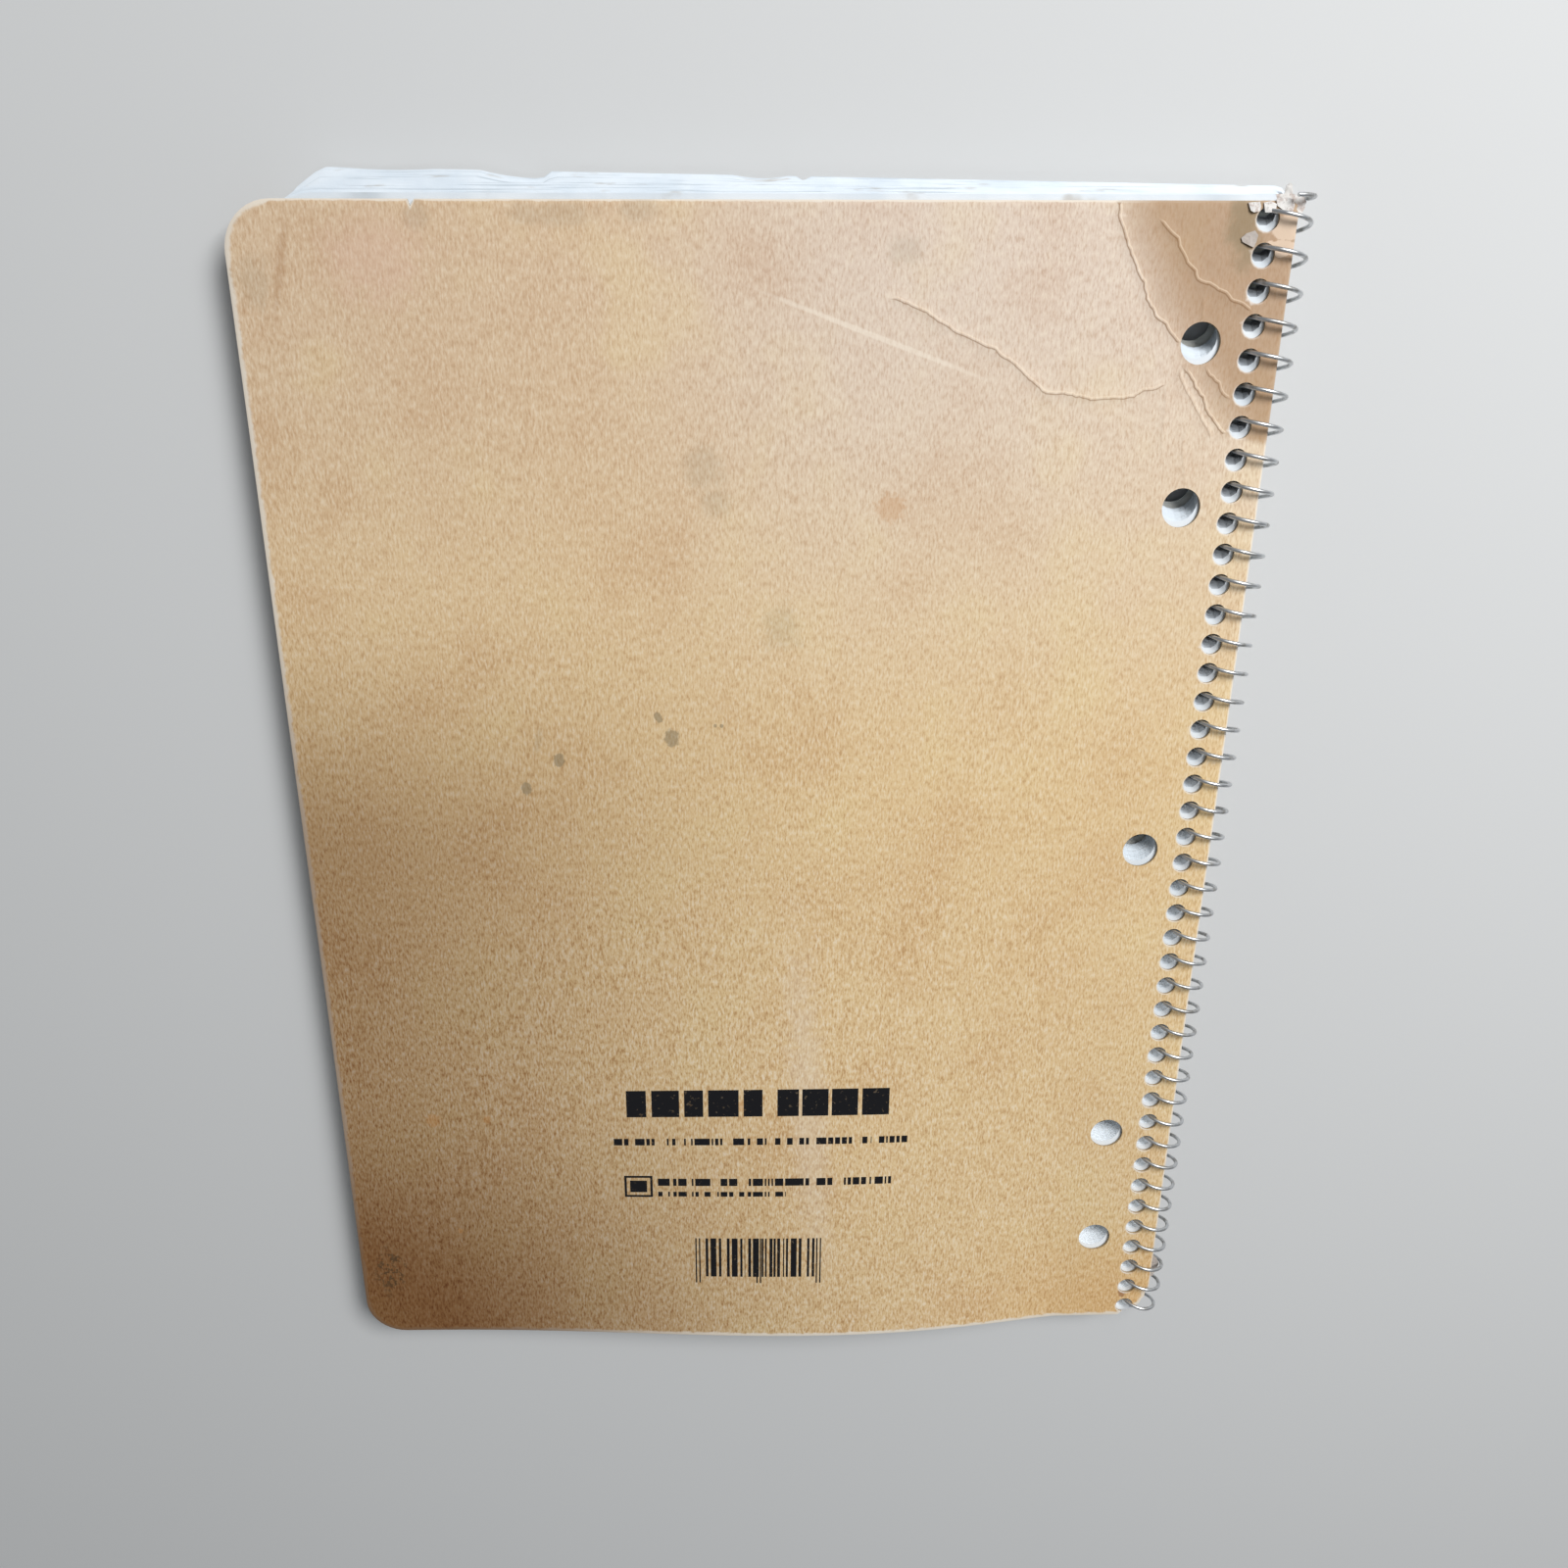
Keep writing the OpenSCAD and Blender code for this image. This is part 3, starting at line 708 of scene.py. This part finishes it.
def torn_paper():
    """Torn uncoated paper, pressed and dirty: off-white fibres with grey and pinkish patches."""
    material, tree, place = new_material("torn_paper")
    patch = grain(tree, place, 1.6, detail=3)
    fray = grain(tree, place, 0.4, detail=3)  # tufts of fibre: a single one is too fine to show
    base = stain(tree, "#e2dfdb", patch, (0.52, 0.66), 0.7, "#bba9a0")
    base = stain(tree, base, fray, (0.56, 0.72), 0.4, "#948b85")
    # the bits away from the head are greyer
    y = add(tree, "ShaderNodeSeparateXYZ", place, out="Y")
    base = stain(tree, base, y, (HEAD_Y - 3 * MM, HEAD_Y - 5 * MM), 0.75, "#a89c92")
    links = {"Height": fray, "Distance": 0.05 * MM, "Strength": 0.6}
    shade(tree, {
        "Base Color": base,
        "Roughness": 0.85,
        "Specular IOR Level": 0.3,
        "Normal": add(tree, "ShaderNodeBump", links=links),
    })
    return material


# ---------------------------------------------------------------- sheets

SHEETS = 50
SHEET_W, SHEET_H = 193.7 * MM, 266.7 * MM
STACK_T = 4.2 * MM
STACK_HALF = STACK_T / 2
SHEET_TURN = math.radians(0.6)
SLUMP = 0.6 * MM
HEAD_SLANT = 1.3 * MM
# Dents in the head edge: where, how far to either side and how deep in mm, and from which share of
# the sheets on.
HEAD_DENTS = [
    (13.6, 5.5, 4.0, 1.2, 0.25), (30.0, 9.0, 9.0, 0.3, 0.6), (58.6, 11.0, 2.6, 1.25, 0.45),
    (101.0, 5.0, 5.0, 0.5, 0.6), (109.6, 1.0, 1.0, 0.9, 0.75),
]
SHEET_HOLE_X = (wire_x(AXIS_Z) + wire_x(AXIS_Z + STACK_HALF)) / 2


def stacking_tree():
    """Geometry nodes that stack copies of one sheet: each lies lower, leans and fans out more."""
    tree = bpy.data.node_groups.new("stack_of_sheets", "GeometryNodeTree")
    face = tree.interface
    face.new_socket("Sheet", in_out="INPUT", socket_type="NodeSocketGeometry")
    for name in ("Near Place", "Far Place", "Pivot"):
        face.new_socket(name, in_out="INPUT", socket_type="NodeSocketVector")
    for name in ("Turn", "Fan", "Stray"):
        face.new_socket(name, in_out="INPUT", socket_type="NodeSocketFloat")
    face.new_socket("Count", in_out="INPUT", socket_type="NodeSocketInt")
    face.new_socket("Seed", in_out="INPUT", socket_type="NodeSocketInt")
    face.new_socket("Paper", in_out="INPUT", socket_type="NodeSocketMaterial")
    face.new_socket("Geometry", in_out="OUTPUT", socket_type="NodeSocketGeometry")
    given = add(tree, "NodeGroupInput").node.outputs
    index = add(tree, "GeometryNodeInputIndex")
    last = add(tree, MATH, given["Count"], 1, operation="SUBTRACT")
    share = add(tree, MATH, index, last, operation="DIVIDE")

    def stray(offset):
        least = add(tree, MATH, given["Stray"], -1, operation="MULTIPLY")
        seed = add(tree, MATH, given["Seed"], offset, operation="ADD")
        return add(tree, "FunctionNodeRandomValue", least, given["Stray"], index, seed, data_type="FLOAT")

    place = add(tree, MIX, share, given["Near Place"], given["Far Place"], data_type="VECTOR")
    loose = add(tree, "ShaderNodeCombineXYZ", stray(0), stray(1))
    place = add(tree, "ShaderNodeVectorMath", place, loose, operation="ADD")
    points = add(tree, "GeometryNodePoints", given["Count"], place)
    turn = add(tree, MATH, given["Turn"], share, operation="MULTIPLY")
    turned = add(tree, "ShaderNodeCombineXYZ", links={"Z": turn})
    links = {"Points": points, "Instance": given["Sheet"], "Rotation": turned}
    copies = add(tree, "GeometryNodeInstanceOnPoints", links=links)
    fan = add(tree, MATH, given["Fan"], share, operation="MULTIPLY")
    fanned = add(tree, "ShaderNodeCombineXYZ", links={"Y": fan})
    links = {"Instances": copies, "Rotation": fanned, "Pivot Point": given["Pivot"], "Local Space": False}
    tilted = add(tree, "GeometryNodeRotateInstances", links=links)
    solid = add(tree, "GeometryNodeRealizeInstances", tilted)
    dressed = add(tree, "GeometryNodeSetMaterial", links={"Geometry": solid, "Material": given["Paper"]})
    add(tree, "NodeGroupOutput", dressed)
    return tree


def grown(source, tree, values):
    """Runs a geometry tree on an object and leaves a plain mesh in its place."""
    modifier = source.modifiers.new("grow", "NODES")
    modifier.node_group = tree
    for item in tree.interface.items_tree:
        if item.in_out == "INPUT" and item.name in values:
            modifier[item.identifier] = values[item.name]
    evaluated = source.evaluated_get(bpy.context.evaluated_depsgraph_get())
    mesh = bpy.data.meshes.new_from_object(evaluated)
    source.modifiers.remove(modifier)
    source.data = mesh
    return source


def make_sheets(material):
    """Fifty thin sheets, from one sheet made about its row of coil holes."""
    near_z, far_z = AXIS_Z + STACK_HALF, AXIS_Z - STACK_HALF
    near_lift = wire_y(wire_angle(near_z)) - SLUMP
    far_lift = wire_y(wire_angle(far_z)) + SLUMP
    spine = (
        math.sqrt((BOARD_IN - AXIS_Z - 0.06 * MM) ** 2 - STACK_HALF**2)
        - (SHEET_H / 2 + far_lift) * math.sin(SHEET_TURN)
        + AXIS_X
        - SHEET_HOLE_X
    )
    fore = spine - SHEET_W
    card_gap = CARD_IN - STACK_HALF - 0.25 * MM
    fan = math.asin(math.sin(CARD_DROOP) - card_gap / (fore + SHEET_HOLE_X - AXIS_X))
    half = SHEET_H / 2
    r, q = CORNER_R, 2.5 * MM
    head = [(x, half) for x in np.arange(spine - q - 1 * MM, fore + r, -1.5 * MM)]
    edge = (
        arc(fore + r, -half + r, r, 180, 270, 7)
        + arc(spine - q, -half + q, q, 270, 360, 3)
        + arc(spine - q, half - q, q, 0, 90, 3)
        + head
        + arc(fore + r, half - r, r, 90, 180, 7)
    )
    inset = wire_x(BOARD_MID) - BINDER_X
    loops = [edge]
    loops += [ring(0, hole_y(k) - MIDDLE_Y, COIL_HOLE_R, 10) for k in range(HOLES)]
    loops += [ring(-inset, y - MIDDLE_Y, BINDER_R, 20) for y in BINDER_Y]
    flat, faces = cut_out(loops)
    thick = STACK_T / SHEETS
    half_thick = np.full(len(flat), thick * 0.48)  # a hair of air is left between the sheets
    one = plate("sheets", flat, faces, half_thick, -half_thick, material)
    per_sheet = len(one.data.vertices)
    local = np.array([v.co for v in one.data.vertices])
    values = {
        "Near Place": (SHEET_HOLE_X, MIDDLE_Y + near_lift, near_z - thick / 2),
        "Far Place": (SHEET_HOLE_X, MIDDLE_Y + far_lift, far_z + thick / 2),
        "Pivot": (AXIS_X, MIDDLE_Y, AXIS_Z),
        "Turn": -SHEET_TURN,
        "Fan": -fan,
        "Stray": 0.05 * MM,
        "Count": SHEETS,
        "Seed": 3,
        "Paper": material,
    }
    stack = grown(one, stacking_tree(), values)
    mesh = stack.data
    co = np.zeros(len(mesh.vertices) * 3)
    mesh.vertices.foreach_get("co", co)
    co = co.reshape(SHEETS, per_sheet, 3)
    # the sheets lie askew, so the head edge of the outer ones slants up to the fore edge
    share = (np.arange(SHEETS) / (SHEETS - 1))[:, None]
    upper = np.clip((local[:, 1] - half + r) / r, 0, 1)
    outward = np.clip((spine - local[:, 0]) / SHEET_W, 0, 1)
    co[:, :, 1] += HEAD_SLANT * share * upper * outward
    # and it is worn: a hollow and a few shallow dents, deepest in the outer sheets
    at_head = local[:, 1] > half - 4 * MM
    u = (co[:, at_head, 0] - FORE_X) / MM
    worn = np.zeros_like(u)
    for at, left, right, deep, since in HEAD_DENTS:
        shape = np.clip(1 - ((u - at) / np.where(u < at, left, right)) ** 2, 0, 1)
        worn = np.maximum(worn, deep * shape * np.clip((share - since) / 0.2, 0, 1))
    co[:, at_head, 1] -= worn * MM
    mesh.vertices.foreach_set("co", co.ravel())
    mesh.update()
    return stack


def ruled_paper():
    """Wood-free writing paper, calendered and ruled: cool white, with pale blue rules and a red
    margin, and faint grey lines where the cut edges lie against each other. Painted shade darkens
    its punched holes, painted shadows lie on its cut edges here and there, and painted light makes
    it paler towards the foot."""
    material, tree, place = new_material("ruled_paper")
    x, y, z = add(tree, "ShaderNodeSeparateXYZ", place).node.outputs

    def below_head(far_mm):
        return add(tree, MATH, y, HEAD_Y - far_mm * MM, operation="LESS_THAN")

    # a soft mottle, and painted light that makes the paper paler towards the foot
    soft = grain(tree, place, 9, detail=3)
    base = stain(tree, "#e6edf3", soft, (0.35, 0.7), 1, "#dae3eb")
    painted_light_to_foot = (y, (MIDDLE_Y, FOOT_Y), 0.95, "#f6fbff")
    base = stain(tree, base, *painted_light_to_foot)
    # rules 7.1 mm apart below the head margin, and a red margin line
    row = add(tree, MATH, y, 1.0, operation="ADD")
    row = add(tree, MATH, row, 3.55 * MM, operation="PINGPONG")
    rule = add(tree, MATH, row, 0.16 * MM, operation="LESS_THAN")
    off_spine = add(tree, MATH, x, SPINE_X - 24 * MM, operation="LESS_THAN")
    base = stain(tree, base, joined(tree, "MULTIPLY", rule, below_head(24), off_spine), None, 0.75, "#8fb3d6")
    line = add(tree, MATH, x, SPINE_X - 38 * MM, 0.18 * MM, operation="COMPARE")
    base = stain(tree, base, joined(tree, "MULTIPLY", line, below_head(6)), None, 0.7, "#d98a92")
    # cut edges: thin grey lines that run along the sheets, with a few painted brown shadows; they
    # show a little on the faces at the head too. A sheet is 0.08 mm thick, too fine to show, so the
    # lines are drawn 0.2 mm apart.
    at_head = add(tree, MATH, y, HEAD_Y - 0.5 * MM, operation="GREATER_THAN")
    layer = grain(tree, place, 0.22, (110, 110, 1), detail=2)
    brown_shadow = grain(tree, place, 9, (1, 1, 0.2), detail=3, at=(0.013, 0, 0))
    cut = "#e9f0f5"
    for value, span, amount, on_cut, on_face in (
        (layer, (0.54, 0.7), 0.6, "#a9b5bc", "#b3bec6"),
        (brown_shadow, (0.6, 0.74), 0.5, "#a39684", "#b0a494"),
    ):
        cut = stain(tree, cut, value, span, amount, on_cut)
        base = stain(tree, base, value, span, joined(tree, "MULTIPLY", at_head, amount), on_face)
    # painted shade on the walls of the punched holes, darker further in
    holes = add(tree, "ShaderNodeAttribute", attribute_name="hole_wall_shade", out="Fac")
    under = BOARD_IN - STACK_T * 0.7
    deep = add(tree, RANGE, z, BOARD_IN, under, 0.7, 1, interpolation_type="SMOOTHSTEP")
    cut = stain(tree, cut, holes, None, deep, "#474b52")
    # the painted light towards the foot on the cut edges too
    cut = stain(tree, cut, *painted_light_to_foot)
    # painted shade too on the sheets inside the stack round the coil holes, most at the head
    inner = add(tree, MATH, z, BOARD_IN - STACK_HALF, STACK_HALF - 0.3 * MM, operation="COMPARE")
    by_coil = add(tree, MATH, x, wire_x(AXIS_Z), COIL_HOLE_R + 1.5 * MM, operation="COMPARE")
    hole_shade = joined(tree, "MULTIPLY", inner, by_coil, below_head(1.4), 0.6)
    base = stain(tree, base, y, (FOOT_Y / 2, HEAD_Y), hole_shade, "#6d7279")
    side = add(tree, "ShaderNodeAttribute", attribute_name="cut_edge", out="Fac")
    tooth = grain(tree, place, 0.4, detail=3)  # coarser than real paper's, so that it shows
    links = {"Height": tooth, "Distance": 0.01 * MM, "Strength": 0.5}
    shade(tree, {
        "Base Color": stain(tree, base, side, None, 1, cut),
        "Roughness": 0.78,
        "Specular IOR Level": 0.3,
        "Normal": add(tree, "ShaderNodeBump", links=links),
    })
    return material


def mark_cut_edges(piece):
    """Marks the walls of thin sheets, so that they show no rules, and how much painted shade those in holes
    get.
    """
    mesh = piece.data
    normals = np.zeros(len(mesh.polygons) * 3)
    middles = np.zeros(len(mesh.polygons) * 3)
    mesh.polygons.foreach_get("normal", normals)
    mesh.polygons.foreach_get("center", middles)
    walls = np.abs(normals.reshape(-1, 3)[:, 2]) < 0.5
    x, y, _ = middles.reshape(-1, 3).T
    coil_hole = np.abs(x - wire_x(AXIS_Z)) < COIL_HOLE_R + 1.5 * MM
    binder_hole = np.abs(x - BINDER_X) < BINDER_R + 1.5 * MM
    within = np.abs(y - MIDDLE_Y) < SHEET_H / 2 - 1.6 * MM
    give(mesh, "cut_edge", walls, "FACE")
    # painted shade, darker in the coil holes than in the binder holes, and fading towards the foot
    hole_shade = (coil_hole * 1.0 + binder_hole * 0.3) * np.clip((y - FOOT_Y) / SHEET_H * 1.6 - 0.3, 0, 1)
    give(mesh, "hole_wall_shade", walls * within * hole_shade, "FACE")


# ---------------------------------------------------------------- wire coil


def tube_tree():
    """Geometry nodes that draw a round wire along a path."""
    tree = bpy.data.node_groups.new("wire_along_path", "GeometryNodeTree")
    face = tree.interface
    face.new_socket("Path", in_out="INPUT", socket_type="NodeSocketGeometry")
    face.new_socket("Wire Radius", in_out="INPUT", socket_type="NodeSocketFloat")
    face.new_socket("Sides", in_out="INPUT", socket_type="NodeSocketInt")
    face.new_socket("Wire", in_out="INPUT", socket_type="NodeSocketMaterial")
    face.new_socket("Geometry", in_out="OUTPUT", socket_type="NodeSocketGeometry")
    given = add(tree, "NodeGroupInput").node.outputs
    path = add(tree, "GeometryNodeMeshToCurve", given["Path"])
    links = {"Resolution": given["Sides"], "Radius": given["Wire Radius"]}
    section = add(tree, "GeometryNodeCurvePrimitiveCircle", links=links)
    links = {"Curve": path, "Profile Curve": section, "Fill Caps": True}
    tube = add(tree, "GeometryNodeCurveToMesh", links=links)
    smooth = add(tree, "GeometryNodeSetShadeSmooth", tube)
    solid = add(tree, "GeometryNodeRealizeInstances", smooth)
    dressed = add(tree, "GeometryNodeSetMaterial", links={"Geometry": solid, "Material": given["Wire"]})
    add(tree, "NodeGroupOutput", dressed)
    return tree


def on_coil(angle):
    """A point of the wire: its lower end is pressed in, and its top turn is pushed down to the cover."""
    a = math.radians(angle)
    r = COIL_R - PRESSED_IN * math.sin(math.pi / 2 * min(1, max(0, (90 - angle) / 120)))
    y = min(hole_y(0) + wire_y(angle), HEAD_Y + 2 * WIRE_R)
    return AXIS_X + r * math.cos(a), y, AXIS_Z + r * math.sin(a)


def make_coil(material):
    """The whole wire, drawn along its path."""
    path = [on_coil(angle) for angle in np.arange(WIRE_FROM, WIRE_TO + 0.1, 11.25)]
    mesh = bpy.data.meshes.new("coil_wire")
    mesh.from_pydata(path, [(i, i + 1) for i in range(len(path) - 1)], [])
    coil = bpy.data.objects.new("coil_wire", mesh)
    bpy.context.scene.collection.objects.link(coil)
    return grown(coil, tube_tree(), {"Wire Radius": WIRE_R, "Sides": 8, "Wire": material})


def tinned_wire():
    """Tinned steel wire, drawn and then wound: a clean shine on top, dulled by a film of oxide."""
    material, tree, place = new_material("tinned_wire")
    film = grain(tree, place, 2.5, detail=4, rough=0.6)
    shade(tree, {
        "Base Color": stain(tree, "#d6d8da", film, (0.46, 0.72), 0.9, "#96928b"),
        "Metallic": 1.0,
        "Roughness": add(tree, RANGE, film, 0.3, 0.7, 0.3, 0.48, interpolation_type="SMOOTHSTEP"),
    })
    return material


# ---------------------------------------------------------------- front cover


def printed_card():
    """Coated card: dull blue print outside with rubbed edges, bare white pulp inside."""
    material, tree, place = new_material("coated_card")
    x, _, z = add(tree, "ShaderNodeSeparateXYZ", place).node.outputs
    plane = add(tree, MATH, x, CARD_SLOPE, CARD_AT_ZERO, operation="MULTIPLY_ADD")
    within = add(tree, MATH, z, plane, operation="GREATER_THAN")
    soft = grain(tree, place, 20, detail=4)
    rub = grain(tree, place, 1.4, (1, 3, 1), detail=4, rough=0.7)
    face = stain(tree, "#4b6480", soft, (0.4, 0.7), 1, "#435a74")
    face = stain(tree, face, rub, (0.66, 0.8), 0.5, "#a9b3bb")
    pulp = stain(tree, "#dedfda", soft, (0.4, 0.7), 1, "#d0cfc6")
    tooth = grain(tree, place, 0.5, detail=3)  # coarser than real card's, so that it shows
    links = {"Height": tooth, "Distance": 0.01 * MM, "Strength": 0.4}
    shade(tree, {
        "Base Color": stain(tree, face, within, None, 1, pulp),
        "Roughness": 0.45,
        "Normal": add(tree, "ShaderNodeBump", links=links),
    })
    return material


# ---------------------------------------------------------------- making the pieces

board_finish = chipboard()
back_cover = make_back_cover(board_finish)
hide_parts("back_cover")
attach(back_cover, "back")

torn = torn_paper()
head_scrap = scrap("head_scrap", [HEAD_SCRAP], torn)
flaps = scrap("torn_flaps", FLAPS, torn)
foot_tab = scrap("foot_tab", [FOOT_TAB], torn)
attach(head_scrap, "block")
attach(flaps, "back")
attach(foot_tab, "block")
# the back cover and its torn flaps each get a mesh of their own
for piece in (back_cover, flaps):
    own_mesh(piece)

paper_finish = ruled_paper()
sheets = make_sheets(paper_finish)
mark_cut_edges(sheets)
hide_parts("pages")
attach(sheets, "block")

wire_finish = tinned_wire()
coil = make_coil(wire_finish)
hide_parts("wire_coil")
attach(coil, "block")

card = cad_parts["front_cover"]
card.data.materials.clear()
card.data.materials.append(printed_card())

# ---------------------------------------------------------------- floor, light and camera


def make_floor():
    """Matte paint, pale grey and even."""
    material, tree, _ = new_material("floor_paint")
    shade(tree, {"Base Color": "#d3d4d4", "Roughness": 0.9})
    floor = mesh_object("floor", [(-3, -3, 0), (3, -3, 0), (3, 3, 0), (-3, 3, 0)], [(0, 1, 2, 3)], material)


def soft_light(name, place, target, size, watts):
    """A square lamp that faces a target."""
    lamp = bpy.data.lights.new(name, "AREA")
    lamp.shape = "SQUARE"
    lamp.size = size
    lamp.energy = watts
    holder = bpy.data.objects.new(name, lamp)
    holder.location = place
    holder.rotation_euler = (Vector(target) - Vector(place)).to_track_quat("-Z", "Y").to_euler()
    bpy.context.scene.collection.objects.link(holder)


make_floor()
soft_light("window", (0.42, 0.5, 0.72), (0, 0, 0), 0.42, 9.0)
world = bpy.data.worlds.new("studio")
world.use_nodes = True
world.node_tree.nodes["Background"].inputs["Color"].default_value = colour("#eef2f6")
world.node_tree.nodes["Background"].inputs["Strength"].default_value = 0.24
bpy.context.scene.world = world

# The camera stands over the head half of the cover and looks down past its middle.
COVER_MIDDLE = Vector(((FORE_X + SPINE_X) / 2, MIDDLE_Y, BOARD_OUT))
RIGHT = Vector((0.9996, -0.001, 0.0279))
UP = Vector((0.0103, 0.9417, -0.3364))
BACK = Vector((-0.0259, 0.3366, 0.9413))
camera_data = bpy.data.cameras.new("camera")
camera_data.sensor_width = 36
camera_data.lens = 27.414
camera_data.shift_x = 0.0240625
camera_data.shift_y = -0.0008125
camera_data.clip_start = 0.01
camera = bpy.data.objects.new("camera", camera_data)
stand = COVER_MIDDLE + Vector((-10.49, 105.71, 247.39)) * MM
turn = Matrix((RIGHT, UP, BACK)).transposed().to_4x4()
camera.matrix_world = Matrix.Translation(stand) @ turn
bpy.context.scene.collection.objects.link(camera)
bpy.context.scene.camera = camera
bpy.context.scene.view_settings.view_transform = "Standard"
